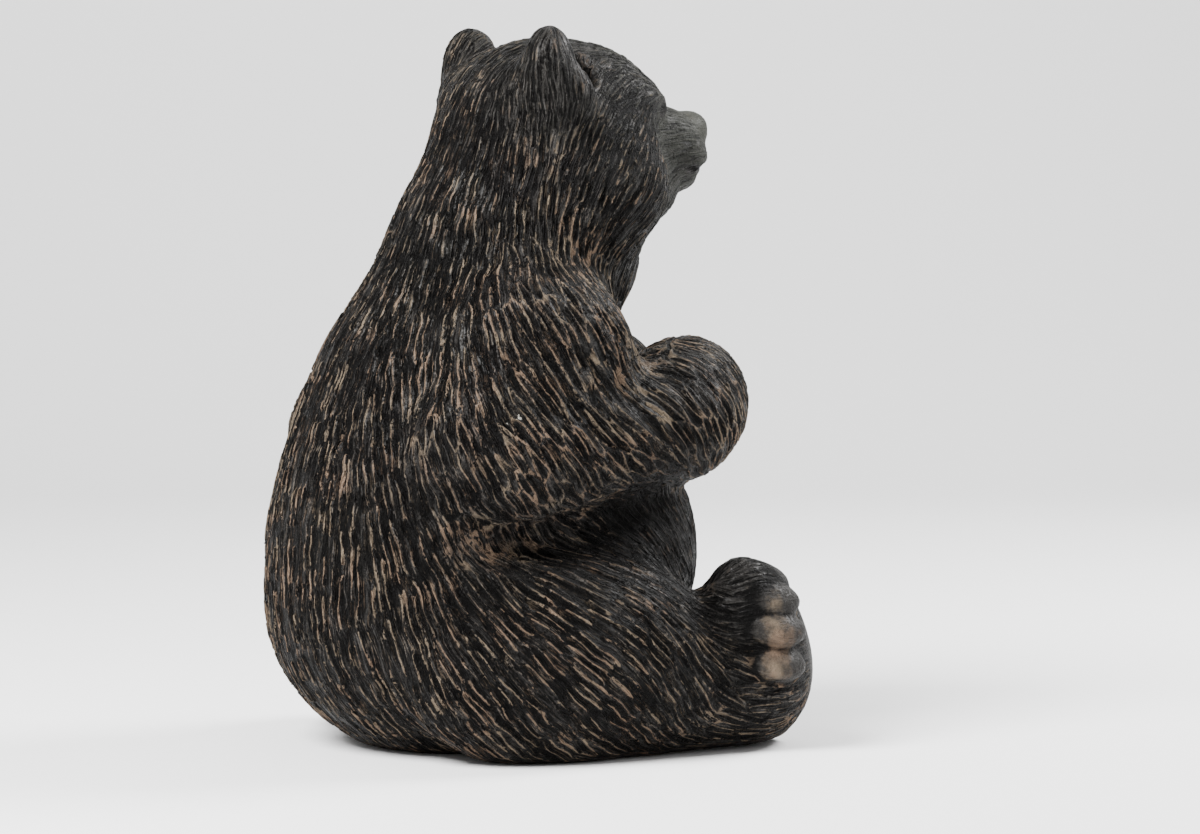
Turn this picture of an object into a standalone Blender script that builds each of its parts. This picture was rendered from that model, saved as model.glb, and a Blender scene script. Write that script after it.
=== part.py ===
"""A seated bear cub, cast in concrete as one solid.

Metres, +Z up. The cub faces -Y and rests on a flat underside at Z = 0, under the middle of its outline.
Its pose, proportions and carving are shares of HEIGHT. A place is (side, ahead, up): side is towards
the cub's own right, ahead is the way it faces, and up is from the ground.
"""

from dataclasses import dataclass
from math import cos, radians, sin

import bmesh
import bpy
import numpy as np
from mathutils import Euler, Matrix, Vector
from mathutils.kdtree import KDTree

HEIGHT = 0.400  # from the ground to the ears' tips

CLAY_STEP = 0.0095  # edge of the cells that the rough masses are fused with, as a share of HEIGHT
FORM_STEP = 0.0075  # edge of the cells of the carved form
PRESS_ROUNDS = 6
PRESS_REACH = 0.005  # the most that one round moves a point
PROBE = 0.001  # step along each axis when the form's slope is measured
SOLID_FACES = 9800  # triangles kept in the solid
FINE_PLACES = ((.055, .250, .885), (0, .320, .840), (.130, .060, .935), (.040, .335, .455), (.27, .325, .18))
FINE_REACH = 0.050  # how far round those places the solid keeps smaller faces
FINE_PULL = 0.02  # how strongly it keeps them
BASE_ROUND = 0.012  # rounding where the sides meet the flat underside
BASE_SNAP = 0.0025  # points this near the ground lie on it

COMB_REACH = 0.055  # how far round its place a comb sets the fur by itself
LOCK_SPACING = 0.78  # least gap between two locks, as a share of a lock's own size
LOCK_RIM = 0.55  # how much of a lock its sloping rim takes up
LOCK_TRIES = 9000  # points tried as the middle of a lock
LOCK_SEED = 7

CONCRETE = (0.030, 0.026, 0.023)
CONCRETE_ROUGHNESS = 0.62


def place(side, ahead, up):
    """A place given as (side, ahead, up) in the cub's own axes."""
    return np.array((-side, -ahead, up), float)


def soft_union(first, second, blend):
    """The nearer of two distances, with a fillet about as wide as blend."""
    share = np.clip(0.5 + 0.5 * (second - first) / blend, 0, 1)
    return second + (first - second) * share - blend * share * (1 - share)


def soft_cut(body, tool, blend):
    """The body's distance with the tool taken out of it, with a fillet along the edge."""
    return -soft_union(-body, tool, blend)


@dataclass
class Egg:
    """An ellipsoid mass: its middle, its radii along side, ahead and up, and its turn in degrees."""

    middle: tuple
    radii: tuple
    turn: tuple = (0, 0, 0)
    blend: float = 0.03

    def mirrored(self):
        side, ahead, up = self.middle
        pitch, roll, yaw = self.turn
        return Egg((-side, ahead, up), self.radii, (pitch, -roll, -yaw), self.blend)

    def rotation(self):
        pitch, roll, yaw = np.radians(self.turn)
        return np.array(Euler((pitch, -roll, -yaw), "XYZ").to_matrix())

    def distance(self, points):
        radii = np.array(self.radii)
        local = (points - place(*self.middle)) @ self.rotation()
        near = np.linalg.norm(local / radii, axis=1)
        steep = np.linalg.norm(local / radii**2, axis=1) + 1e-9
        return near * (near - 1) / steep

    def add_to(self, clay):
        turn = Matrix(self.rotation().tolist()).to_4x4()
        shape = Matrix.Translation(Vector(place(*self.middle))) @ turn @ Matrix.Diagonal((*self.radii, 1))
        bmesh.ops.create_icosphere(clay, subdivisions=4, radius=1, matrix=shape)


@dataclass
class Limb:
    """A round mass that tapers from one end to the other."""

    start: tuple
    end: tuple
    start_radius: float
    end_radius: float
    blend: float = 0.03

    def mirrored(self):
        start, end = ((-side, ahead, up) for side, ahead, up in (self.start, self.end))
        return Limb(start, end, self.start_radius, self.end_radius, self.blend)

    def distance(self, points):
        start, end = place(*self.start), place(*self.end)
        bone = end - start
        along = np.clip((points - start) @ bone / (bone @ bone), 0, 1)
        radius = self.start_radius + (self.end_radius - self.start_radius) * along
        return np.linalg.norm(points - start - along[:, None] * bone, axis=1) - radius

    def add_to(self, clay):
        start, end = Vector(place(*self.start)), Vector(place(*self.end))
        for at, radius in ((start, self.start_radius), (end, self.end_radius)):
            bmesh.ops.create_icosphere(clay, subdivisions=3, radius=radius, matrix=Matrix.Translation(at))
        bone = end - start
        lie = Matrix.Translation((start + end) / 2) @ bone.to_track_quat("Z", "Y").to_matrix().to_4x4()
        bmesh.ops.create_cone(clay, cap_ends=True, segments=32, radius1=self.start_radius,
                              radius2=self.end_radius, depth=bone.length, matrix=lie)


FOOT_LEAN = 24  # degrees that each foot tips out to its side

TRUNK = {
    "rump": Egg((0, -.073, .205), (.278, .238, .226)),
    "seat": Egg((0, .030, .075), (.190, .200, .110), blend=.05),
    "loin": Egg((0, -.070, .350), (.240, .224, .190), blend=.08),
    "belly": Egg((0, .085, .265), (.225, .225, .225), blend=.06),
    "ribs": Egg((0, -.040, .480), (.210, .205, .200), turn=(14, 0, 0), blend=.08),
    "neck": Egg((0, .035, .675), (.155, .175, .190), turn=(20, 0, 0), blend=.08),
    "skull": Egg((0, .092, .848), (.158, .156, .138), blend=.06),
    "brow": Egg((0, .155, .890), (.118, .095, .082), blend=.03),
    "throat": Egg((0, .130, .680), (.095, .095, .080), blend=.05),
    "jaw": Egg((0, .205, .765), (.082, .090, .055), blend=.04),
    "muzzle": Egg((0, .250, .832), (.066, .092, .062), blend=.03),
    "chin": Egg((0, .298, .788), (.034, .034, .022), blend=.010),
    "nose": Egg((0, .322, .855), (.035, .028, .027), turn=(12, 0, 0), blend=.008),
}
PAIRS = {
    "cheek": Egg((.092, .130, .775), (.085, .105, .085), blend=.05),
    "lip": Egg((.022, .305, .817), (.034, .033, .027), blend=.014),
    "brow_ridge": Egg((.062, .222, .905), (.034, .018, .012), turn=(0, 14, 22), blend=.025),
    "eye": Egg((.058, .241, .886), (.016, .016, .016), blend=.002),
    "upper_lid": Egg((.059, .242, .900), (.022, .012, .007), turn=(0, 12, 28), blend=.006),
    "lower_lid": Egg((.059, .241, .872), (.019, .010, .006), turn=(0, -6, 28), blend=.006),
    "ear_root": Egg((.106, .024, .900), (.040, .038, .046), blend=.04),
    "ear": Egg((.122, .040, .930), (.053, .040, .070), turn=(0, 8, 12), blend=.02),
    "ear_fold": Egg((.148, .060, .896), (.026, .038, .046), turn=(0, 8, 12), blend=.02),
    "shoulder": Egg((.160, .000, .530), (.115, .150, .140), blend=.06),
    "upper_arm": Egg((.212, -.055, .432), (.090, .150, .118), turn=(-8, 0, 0), blend=.04),
    "forearm": Limb((.232, -.060, .405), (.160, .210, .455), .082, .092, blend=.03),
    "wrist": Egg((.128, .250, .474), (.085, .093, .097), blend=.03),
    "palm": Egg((.066, .294, .458), (.060, .050, .072), turn=(0, 0, -18), blend=.02),
    "thigh": Egg((.205, .020, .132), (.128, .235, .155)),
    "shin": Limb((.205, .150, .100), (.212, .285, .098), .110, .100),
    "foot": Egg((.214, .312, .134), (.079, .078, .148), turn=(-17, FOOT_LEAN, 8), blend=.03),
}
HOLLOWS = {
    "ear_cup": Egg((.116, .080, .940), (.032, .029, .043), turn=(0, 8, 12), blend=.010),
    "nostril": Egg((.017, .347, .858), (.008, .008, .005), turn=(0, 35, 35), blend=.005),
    "philtrum": Limb((0, .354, .838), (0, .347, .816), .003, .003, blend=.006),
    "mouth": Limb((.002, .343, .803), (.060, .275, .798), .002, .004, blend=.006),
    "under_arm": Limb((.268, -.190, .290), (.228, .215, .338), .020, .034, blend=.03),
}
DEEP = ("ear_cup", "under_arm")  # hollows cut out before the skin is pressed to the form

FINGERS = 4
FINGER_PITCH = 0.033
FINGER_TOP = 0.508
FINGER_START = (.058, .322)
FINGER_END = (.022, .334)
FINGER_RADIUS = 0.0180
FINGER_TIP = 0.0205
FINGER_DROP = 0.006
CLAW = (.014, .352)
CLAW_DROP = 0.020
CLAW_RADII = (.0075, .0035)

TOES = 5
TOE_FIRST = -32  # degrees from the top of the foot to its innermost toe, round the rim of the foot
TOE_SPREAD = 27  # degrees from one toe to the next
TOE_BACK = 0.008  # how far the middle of a toe is behind the middle of the foot
TOE_RADII = (.031, .041, .022)
SOLE_RADII = (.085, .106)


def fingers():
    """The fingers of each paw, one above the other, each with its claw."""
    for row in range(FINGERS):
        up = FINGER_TOP - row * FINGER_PITCH
        tip = (*FINGER_END, up - FINGER_DROP)
        yield Limb((*FINGER_START, up), tip, FINGER_RADIUS, FINGER_TIP, blend=.008)
        yield Limb(tip, (*CLAW, up - CLAW_DROP), *CLAW_RADII, blend=.004)


def toes():
    """The toes round the upper and outer rim of each foot."""
    side, ahead, up = PAIRS["foot"].middle
    lean = radians(FOOT_LEAN)
    for number in range(TOES):
        turn = radians(TOE_FIRST + number * TOE_SPREAD)
        out, high = SOLE_RADII[0] * sin(turn), SOLE_RADII[1] * cos(turn)
        toe_side = side + out * cos(lean) + high * sin(lean)
        toe_up = up + high * cos(lean) - out * sin(lean)
        yield Egg((toe_side, ahead - TOE_BACK, toe_up), TOE_RADII, turn=(8, FOOT_LEAN, 12), blend=.009)


def masses():
    for mass in TRUNK.values():
        yield mass
    for mass in (*PAIRS.values(), *fingers(), *toes()):
        yield mass
        yield mass.mirrored()


def form(points):
    """Distance from the cub's surface, in shares of its height and negative inside it."""
    distance = np.full(len(points), 1.0)
    for mass in masses():
        distance = soft_union(distance, mass.distance(points), mass.blend)
    for hollow in HOLLOWS.values():
        for tool in (hollow, hollow.mirrored()):
            distance = soft_cut(distance, tool.distance(points), tool.blend)
    return soft_cut(distance, points[:, 2], BASE_ROUND)


def slope(points, here):
    """How the distance grows along each axis."""
    return np.stack([form(points + step) - here for step in np.eye(3) * PROBE], axis=1) / PROBE


@dataclass
class Comb:
    """How the fur lies round a place: the way its locks run, and their width, length and depth."""

    at: tuple
    way: tuple
    width: float
    length: float
    depth: float

    def mirrored(self):
        (side, ahead, up), (out, on, high) = self.at, self.way
        return Comb((-side, ahead, up), (-out, on, high), self.width, self.length, self.depth)


COMBS = [
    Comb((0, .30, .88), (0, -1, .1), .020, .050, 0),
    Comb((0, .32, .80), (0, -1, .1), .020, .050, 0),
    Comb((.06, .26, .90), (.1, -1, .1), .020, .050, 0),
    Comb((.05, .20, .95), (0, -1, .6), .020, .060, .001),
    Comb((.05, .05, .99), (0, -1, -.1), .022, .070, .002),
    Comb((0, -.10, .85), (0, -.35, -1), .026, .090, .005),
    Comb((.15, .15, .80), (.2, -.5, -.9), .024, .070, .003),
    Comb((.08, .22, .75), (.2, -.3, -1), .022, .070, .002),
    Comb((.14, .12, .90), (.3, -.8, -.4), .022, .060, .002),
    Comb((.125, 0, .95), (0, -.2, -1), .020, .070, .002),
    Comb((.15, .06, .94), (0, 0, -1), .020, .070, 0),
    Comb((.16, .03, .68), (.1, -.1, -1), .030, .100, .006),
    Comb((0, .24, .65), (0, -.1, -1), .030, .090, .004),
    Comb((0, -.25, .50), (0, -.25, -1), .034, .130, .007),
    Comb((.12, -.33, .25), (0, 0, -1), .034, .120, .007),
    Comb((.10, -.28, .06), (0, .5, -1), .034, .100, .006),
    Comb((.20, -.15, .35), (.1, .2, -1), .034, .120, .007),
    Comb((.25, -.02, .52), (.1, .25, -1), .034, .120, .007),
    Comb((.28, -.02, .45), (0, .45, -.9), .036, .130, .008),
    Comb((.27, .10, .43), (-.1, .6, -.8), .036, .130, .008),
    Comb((.20, .26, .42), (-.3, .3, -1), .030, .100, .005),
    Comb((.15, .26, .56), (-.3, .3, -1), .030, .100, .001),
    Comb((.05, .36, .45), (-1, 0, -.2), .020, .060, 0),
    Comb((.25, .05, .28), (.1, .8, -.55), .036, .110, .008),
    Comb((.32, 0, .15), (0, .75, -.6), .036, .110, .008),
    Comb((.30, .18, .12), (0, .5, -.9), .036, .110, .007),
    Comb((.28, .30, .04), (0, 1, -.15), .026, .100, .003),
    Comb((.30, .33, .10), (0, 1, .1), .024, .090, .002),
    Comb((.25, .33, .22), (0, 1, .6), .022, .070, 0),
    Comb((.21, .40, .12), (0, 0, 1), .022, .070, 0),
    Comb((0, .33, .30), (0, .1, -1), .028, .090, .003),
]


def combed(points, normals):
    """The way the fur lies on each point of the surface, and the width, length and depth of its locks."""
    way, sizes = np.zeros((len(points), 3)), np.zeros((len(points), 3))
    total = np.zeros((len(points), 1))
    for comb in COMBS:
        for guide in {comb.at[0]: comb, -comb.at[0]: comb.mirrored()}.values():
            pull = 1 / (((points - place(*guide.at)) ** 2).sum(axis=1, keepdims=True) + COMB_REACH**2) ** 2
            heading = place(*guide.way)
            way += pull * heading / np.linalg.norm(heading)
            sizes += pull * (guide.width, guide.length, guide.depth)
            total += pull
    way -= normals * (way * normals).sum(axis=1, keepdims=True)
    return way / np.linalg.norm(way, axis=1, keepdims=True), sizes / total


def lock_gap(gap, way, sizes):
    """How far apart points are when the gap is measured in lengths and widths of a lock."""
    along = (gap * way).sum(axis=-1)
    across = np.maximum((gap**2).sum(axis=-1) - along**2, 0)
    return np.sqrt((along / sizes[..., 1]) ** 2 + across / sizes[..., 0] ** 2)


def lock_middles(points, way, sizes):
    """Points that can each carry one lock, none of them on another's lock."""
    kept = []
    order = np.random.default_rng(LOCK_SEED).permutation(len(points))
    for point in order[:LOCK_TRIES]:
        gaps = lock_gap(points[kept] - points[point], way[point], sizes[point])
        if not kept or gaps.min() > LOCK_SPACING:
            kept.append(point)
    return np.array(kept)


def carve_locks(mesh):
    """Carves the fur: each lock is a hollow along the fur's lie, and sharp ridges part the locks."""
    points = corners(mesh)
    normals = slope(points, form(points))
    normals /= np.linalg.norm(normals, axis=1, keepdims=True)
    way, sizes = combed(points, normals)
    middles = lock_middles(points, way, sizes)
    tree = KDTree(len(middles))
    for number, middle in enumerate(middles):
        tree.insert(points[middle], number)
    tree.balance()
    near = np.array([[middles[number] for _, number, _ in tree.find_n(point, 8)] for point in points])
    gaps = np.sort(lock_gap(points[:, None] - points[near], way[near], sizes[near]), axis=1)
    rim = np.clip((gaps[:, 1] - gaps[:, 0]) / LOCK_RIM, 0, 1)
    off_ground = np.clip(points[:, 2] / (3 * BASE_ROUND), 0, 1)
    points -= normals * (sizes[:, 2] * off_ground * rim * (2 - rim))[:, None]
    mesh.vertices.foreach_set("co", points.ravel())
    mesh.update()


def evaluated(mesh_object):
    """Applies the object's modifiers."""
    graph = bpy.context.evaluated_depsgraph_get()
    mesh = bpy.data.meshes.new_from_object(mesh_object.evaluated_get(graph))
    old = mesh_object.data
    mesh_object.modifiers.clear()
    mesh_object.data = mesh
    bpy.data.meshes.remove(old)


def fuse(cub, step):
    """Makes one closed skin of the masses, from cells of this size."""
    remesh = cub.modifiers.new("Fuse", "REMESH")
    remesh.mode = "VOXEL"
    remesh.voxel_size = step
    evaluated(cub)


def thin_out(cub, faces):
    """Joins the smallest faces until this many triangles are left, fewer of them round the fine places."""
    points = corners(cub.data)
    group = cub.vertex_groups.new(name="coarse")
    nearness = np.zeros(len(points))
    for side, ahead, up in FINE_PLACES:
        for middle in (place(side, ahead, up), place(-side, ahead, up)):
            away = ((points - middle) ** 2).sum(axis=1) / FINE_REACH**2
            nearness = np.maximum(nearness, 1 - away)
    for number, weight in enumerate(1 - nearness):
        group.add([number], weight, "REPLACE")
    cub.data.calc_loop_triangles()
    decimate = cub.modifiers.new("Thin out", "DECIMATE")
    decimate.ratio = faces / len(cub.data.loop_triangles)
    decimate.use_collapse_triangulate = True
    decimate.vertex_group = group.name
    decimate.vertex_group_factor = FINE_PULL
    evaluated(cub)
    cub.vertex_groups.clear()


def corners(mesh):
    points = np.empty(len(mesh.vertices) * 3)
    mesh.vertices.foreach_get("co", points)
    return points.reshape(-1, 3)


def press_to_form(mesh):
    """Moves each point onto the surface that form() describes."""
    points = corners(mesh)
    for _ in range(PRESS_ROUNDS):
        here = form(points)
        rise = slope(points, here)
        move = np.clip(here / np.maximum((rise**2).sum(axis=1), 0.5), -PRESS_REACH, PRESS_REACH)
        points -= rise * move[:, None]
    mesh.vertices.foreach_set("co", points.ravel())
    mesh.update()


def seat(mesh):
    """Lays the lowest points flat, and brings the cub to its height over the middle of its outline."""
    points = corners(mesh)
    points[:, 2] = np.where(points[:, 2] < BASE_SNAP, 0, points[:, 2])
    low, high = points.min(axis=0), points.max(axis=0)
    middle = (low + high) / 2
    points -= (middle[0], middle[1], 0)
    points *= HEIGHT / high[2]
    mesh.vertices.foreach_set("co", points.ravel())
    mesh.update()


def modelled(name, shapes):
    """One object with a closed mesh for each shape."""
    clay = bmesh.new()
    for shape in shapes:
        shape.add_to(clay)
    mesh = bpy.data.meshes.new(name)
    clay.to_mesh(mesh)
    clay.free()
    thing = bpy.data.objects.new(name, mesh)
    bpy.context.scene.collection.objects.link(thing)
    return thing


def rough_cub():
    """The masses fused in one skin, with the deep hollows cut out of it."""
    cub = modelled("bear_cub", masses())
    fuse(cub, CLAY_STEP)
    deep = [HOLLOWS[name] for name in DEEP]
    tools = modelled("hollows", (*deep, *(hollow.mirrored() for hollow in deep)))
    cut = cub.modifiers.new("Cut", "BOOLEAN")
    cut.operation = "DIFFERENCE"
    cut.solver = "EXACT"
    cut.object = tools
    evaluated(cub)
    bpy.data.objects.remove(tools)
    return cub


def concrete():
    material = bpy.data.materials.new("dark_concrete")
    material.use_nodes = True
    surface = material.node_tree.nodes["Principled BSDF"]
    surface.inputs["Base Color"].default_value = (*CONCRETE, 1)
    surface.inputs["Roughness"].default_value = CONCRETE_ROUGHNESS
    return material


def clear_scene():
    for thing in list(bpy.data.objects):
        bpy.data.objects.remove(thing)


def main():
    clear_scene()
    cub = rough_cub()
    for step in (CLAY_STEP, FORM_STEP):
        fuse(cub, step)
        press_to_form(cub.data)
    carve_locks(cub.data)
    thin_out(cub, SOLID_FACES)
    seat(cub.data)
    cub.data.materials.append(concrete())
    cub.data.shade_smooth()
    return cub


if __name__ == "__main__":
    main()
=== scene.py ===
"""Dresses the seated bear cub: its carved fur, its stain with painted shade and glints, and the studio round
it.

The casting is modelled again from the same masses as the solid, finely enough for every stroke of the
carving. A place is (side, ahead, up) in shares of the cub's height: side is towards its own right.
"""

from dataclasses import dataclass, replace
from math import cos, pi, radians, sin

import bmesh
import bpy
import numpy as np
from bpy.props import FloatProperty, FloatVectorProperty, IntProperty, PointerProperty
from mathutils import Euler, Matrix, Vector
from mathutils.kdtree import KDTree


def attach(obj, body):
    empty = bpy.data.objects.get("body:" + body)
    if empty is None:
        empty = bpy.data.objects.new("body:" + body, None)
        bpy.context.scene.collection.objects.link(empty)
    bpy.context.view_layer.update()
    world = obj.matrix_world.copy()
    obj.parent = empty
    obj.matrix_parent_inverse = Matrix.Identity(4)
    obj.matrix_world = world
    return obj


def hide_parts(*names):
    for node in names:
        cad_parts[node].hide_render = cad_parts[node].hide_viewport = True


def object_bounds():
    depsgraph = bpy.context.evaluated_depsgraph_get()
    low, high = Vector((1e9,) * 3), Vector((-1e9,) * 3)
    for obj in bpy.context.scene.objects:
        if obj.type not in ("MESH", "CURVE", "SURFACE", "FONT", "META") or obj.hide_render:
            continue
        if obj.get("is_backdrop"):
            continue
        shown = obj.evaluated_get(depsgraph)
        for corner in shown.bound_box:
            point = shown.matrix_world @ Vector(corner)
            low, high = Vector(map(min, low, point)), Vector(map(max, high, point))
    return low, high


bl_info = {
    "name": "Concrete bear cub",
    "version": (1, 0, 0),
    "blender": (4, 5, 0),
    "location": "View3D > Sidebar > Bear cub",
    "description": "Models the carved fur and the stained finish of a seated concrete bear cub",
    "category": "Add Mesh",
}

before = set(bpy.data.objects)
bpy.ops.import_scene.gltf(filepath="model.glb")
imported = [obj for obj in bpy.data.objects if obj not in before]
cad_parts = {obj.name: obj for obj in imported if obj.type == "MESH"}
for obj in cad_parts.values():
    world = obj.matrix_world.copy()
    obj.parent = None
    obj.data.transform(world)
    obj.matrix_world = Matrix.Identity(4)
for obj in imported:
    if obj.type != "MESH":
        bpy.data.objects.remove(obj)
CAD_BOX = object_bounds()

CLAY_STEP = 0.0095  # edge of the cells that the rough masses are fused with, as a share of the height
PRESS_ROUNDS = 5  # times that the skin is moved towards the form
PRESS_REACH = 0.005  # the most that one round moves a point
PROBE = 0.001  # step along each axis when the slope of the form is measured
LEAST_SLOPE = 0.5  # the square of that slope counts as at least this, where the masses run together
BASE_ROUND = 0.012  # softness of the edge where the cub meets the ground
BASE_SNAP = 0.0012  # points lower than this are laid flat
MARGIN = 0.03  # how far off the surface a point may be when it is pressed


def place(side, ahead, up):
    """A place given as (side, ahead, up) in the cub's own axes."""
    return np.array((-side, -ahead, up), float)


def soft_union(first, second, blend):
    """The nearer of two distances, with a fillet about as wide as blend."""
    share = np.clip(0.5 + 0.5 * (second - first) / blend, 0, 1)
    return second + (first - second) * share - blend * share * (1 - share)


def soft_cut(body, tool, blend):
    """The body's distance with the tool taken out of it, with a fillet along the edge."""
    return -soft_union(-body, tool, blend)


@dataclass
class Egg:
    """An ellipsoid mass: its middle, its radii along side, ahead and up, and its turn in degrees."""

    middle: tuple
    radii: tuple
    turn: tuple = (0, 0, 0)
    blend: float = 0.03

    def mirrored(self):
        side, ahead, up = self.middle
        pitch, roll, yaw = self.turn
        return Egg((-side, ahead, up), self.radii, (pitch, -roll, -yaw), self.blend)

    def rotation(self):
        pitch, roll, yaw = np.radians(self.turn)
        return np.array(Euler((pitch, -roll, -yaw), "XYZ").to_matrix())

    def distance(self, points):
        radii = np.array(self.radii)
        local = (points - place(*self.middle)) @ self.rotation()
        near = np.linalg.norm(local / radii, axis=1)
        steep = np.linalg.norm(local / radii**2, axis=1) + 1e-9
        return near * (near - 1) / steep

    def close_to(self, points):
        """Which points the mass can reach."""
        reach = max(self.radii) + self.blend + MARGIN
        return ((points - place(*self.middle)) ** 2).sum(axis=1) < reach**2

    def add_to(self, clay):
        turn = Matrix(self.rotation().tolist()).to_4x4()
        shape = Matrix.Translation(Vector(place(*self.middle))) @ turn @ Matrix.Diagonal((*self.radii, 1))
        bmesh.ops.create_icosphere(clay, subdivisions=4, radius=1, matrix=shape)


@dataclass
class Limb:
    """A round mass that tapers from one end to the other."""

    start: tuple
    end: tuple
    start_radius: float
    end_radius: float
    blend: float = 0.03

    def mirrored(self):
        start, end = ((-side, ahead, up) for side, ahead, up in (self.start, self.end))
        return Limb(start, end, self.start_radius, self.end_radius, self.blend)

    def distance(self, points):
        start, end = place(*self.start), place(*self.end)
        bone = end - start
        along = np.clip((points - start) @ bone / (bone @ bone), 0, 1)
        radius = self.start_radius + (self.end_radius - self.start_radius) * along
        return np.linalg.norm(points - start - along[:, None] * bone, axis=1) - radius

    def close_to(self, points):
        """Which points the mass can reach."""
        start, end = place(*self.start), place(*self.end)
        thickest = max(self.start_radius, self.end_radius)
        reach = np.linalg.norm(end - start) / 2 + thickest + self.blend + MARGIN
        return ((points - (start + end) / 2) ** 2).sum(axis=1) < reach**2

    def add_to(self, clay):
        start, end = Vector(place(*self.start)), Vector(place(*self.end))
        for at, radius in ((start, self.start_radius), (end, self.end_radius)):
            bmesh.ops.create_icosphere(clay, subdivisions=3, radius=radius, matrix=Matrix.Translation(at))
        bone = end - start
        lie = Matrix.Translation((start + end) / 2) @ bone.to_track_quat("Z", "Y").to_matrix().to_4x4()
        bmesh.ops.create_cone(clay, cap_ends=True, segments=32, radius1=self.start_radius,
                              radius2=self.end_radius, depth=bone.length, matrix=lie)


FOOT_LEAN = 24  # degrees that each foot tips out to its side

TRUNK = {
    "rump": Egg((0, -.073, .205), (.278, .238, .226)),
    "seat": Egg((0, .030, .075), (.190, .200, .110), blend=.05),
    "loin": Egg((0, -.070, .350), (.240, .224, .190), blend=.08),
    "belly": Egg((0, .085, .265), (.225, .225, .225), blend=.06),
    "ribs": Egg((0, -.040, .480), (.210, .205, .200), turn=(14, 0, 0), blend=.08),
    "neck": Egg((0, .035, .675), (.155, .175, .190), turn=(20, 0, 0), blend=.08),
    "skull": Egg((0, .092, .848), (.158, .156, .138), blend=.06),
    "brow": Egg((0, .155, .890), (.118, .095, .082), blend=.03),
    "throat": Egg((0, .130, .680), (.095, .095, .080), blend=.05),
    "jaw": Egg((0, .205, .765), (.082, .090, .055), blend=.04),
    "muzzle": Egg((0, .250, .832), (.066, .092, .062), blend=.03),
    "chin": Egg((0, .298, .788), (.034, .034, .022), blend=.010),
    "nose": Egg((0, .322, .855), (.035, .028, .027), turn=(12, 0, 0), blend=.008),
}
PAIRS = {
    "cheek": Egg((.092, .130, .775), (.085, .105, .085), blend=.05),
    "lip": Egg((.022, .305, .817), (.034, .033, .027), blend=.014),
    "brow_ridge": Egg((.062, .222, .905), (.034, .018, .012), turn=(0, 14, 22), blend=.025),
    "eye": Egg((.058, .241, .886), (.016, .016, .016), blend=.002),
    "upper_lid": Egg((.059, .242, .900), (.022, .012, .007), turn=(0, 12, 28), blend=.006),
    "lower_lid": Egg((.059, .241, .872), (.019, .010, .006), turn=(0, -6, 28), blend=.006),
    "ear_root": Egg((.106, .024, .900), (.040, .038, .046), blend=.04),
    "ear": Egg((.122, .040, .930), (.053, .040, .070), turn=(0, 8, 12), blend=.02),
    "ear_fold": Egg((.148, .060, .896), (.026, .038, .046), turn=(0, 8, 12), blend=.02),
    "shoulder": Egg((.160, .000, .530), (.115, .150, .140), blend=.06),
    "upper_arm": Egg((.212, -.055, .432), (.090, .150, .118), turn=(-8, 0, 0), blend=.04),
    "forearm": Limb((.232, -.060, .405), (.160, .210, .455), .082, .092, blend=.03),
    "wrist": Egg((.128, .250, .474), (.085, .093, .097), blend=.03),
    "palm": Egg((.066, .294, .458), (.060, .050, .072), turn=(0, 0, -18), blend=.02),
    "thigh": Egg((.205, .020, .132), (.128, .235, .155)),
    "shin": Limb((.205, .150, .100), (.212, .285, .098), .110, .100),
    "foot": Egg((.214, .312, .134), (.079, .078, .148), turn=(-17, FOOT_LEAN, 8), blend=.03),
}
HOLLOWS = {
    "ear_cup": Egg((.116, .080, .940), (.032, .029, .043), turn=(0, 8, 12), blend=.010),
    "nostril": Egg((.017, .347, .858), (.008, .008, .005), turn=(0, 35, 35), blend=.005),
    "philtrum": Limb((0, .354, .838), (0, .347, .816), .003, .003, blend=.006),
    "mouth": Limb((.002, .342, .803), (.036, .328, .802), .0030, .0035, blend=.005),
    "mouth_corner": Limb((.036, .328, .802), (.064, .276, .797), .0035, .0045, blend=.005),
    "under_arm": Limb((.268, -.190, .290), (.228, .215, .338), .020, .034, blend=.03),
}
DEEP = ("ear_cup", "under_arm")  # hollows cut out before the skin is pressed to the form

FINGERS = 4
FINGER_PITCH = 0.033  # how far each finger is below the one above it
FINGER_TOP = 0.508  # height of the topmost knuckle
FINGER_START = (.058, .322)  # side and ahead of the knuckles
FINGER_END = (.022, .334)  # side and ahead of the fingertips
FINGER_RADIUS = 0.0180
FINGER_TIP = 0.0205  # radius at the tip
FINGER_DROP = 0.006  # how far a fingertip is below its knuckle
CLAW = (.014, .352)  # side and ahead of the claws' points
CLAW_DROP = 0.020  # how far a claw's point is below its knuckle
CLAW_RADII = (.0075, .0035)  # at the root and at the point

TOES = 5
TOE_FIRST = -32  # degrees from the top of the foot to its innermost toe, round the rim of the foot
TOE_SPREAD = 27  # degrees from one toe to the next
TOE_BACK = 0.008  # how far the middle of a toe is behind the middle of the foot
TOE_RADII = (.031, .041, .022)
SOLE_RADII = (.085, .106)  # half the width and height of the ring that the toes lie on


def fingers():
    """The fingers of each paw, one above the other, each with its claw."""
    for row in range(FINGERS):
        up = FINGER_TOP - row * FINGER_PITCH
        tip = (*FINGER_END, up - FINGER_DROP)
        yield Limb((*FINGER_START, up), tip, FINGER_RADIUS, FINGER_TIP, blend=.008)
        yield Limb(tip, (*CLAW, up - CLAW_DROP), *CLAW_RADII, blend=.004)


def toes():
    """The toes round the upper and outer rim of each foot."""
    side, ahead, up = PAIRS["foot"].middle
    lean = radians(FOOT_LEAN)
    for number in range(TOES):
        turn = radians(TOE_FIRST + number * TOE_SPREAD)
        out, high = SOLE_RADII[0] * sin(turn), SOLE_RADII[1] * cos(turn)
        toe_side = side + out * cos(lean) + high * sin(lean)
        toe_up = up + high * cos(lean) - out * sin(lean)
        yield Egg((toe_side, ahead - TOE_BACK, toe_up), TOE_RADII, turn=(8, FOOT_LEAN, 12), blend=.009)


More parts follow.
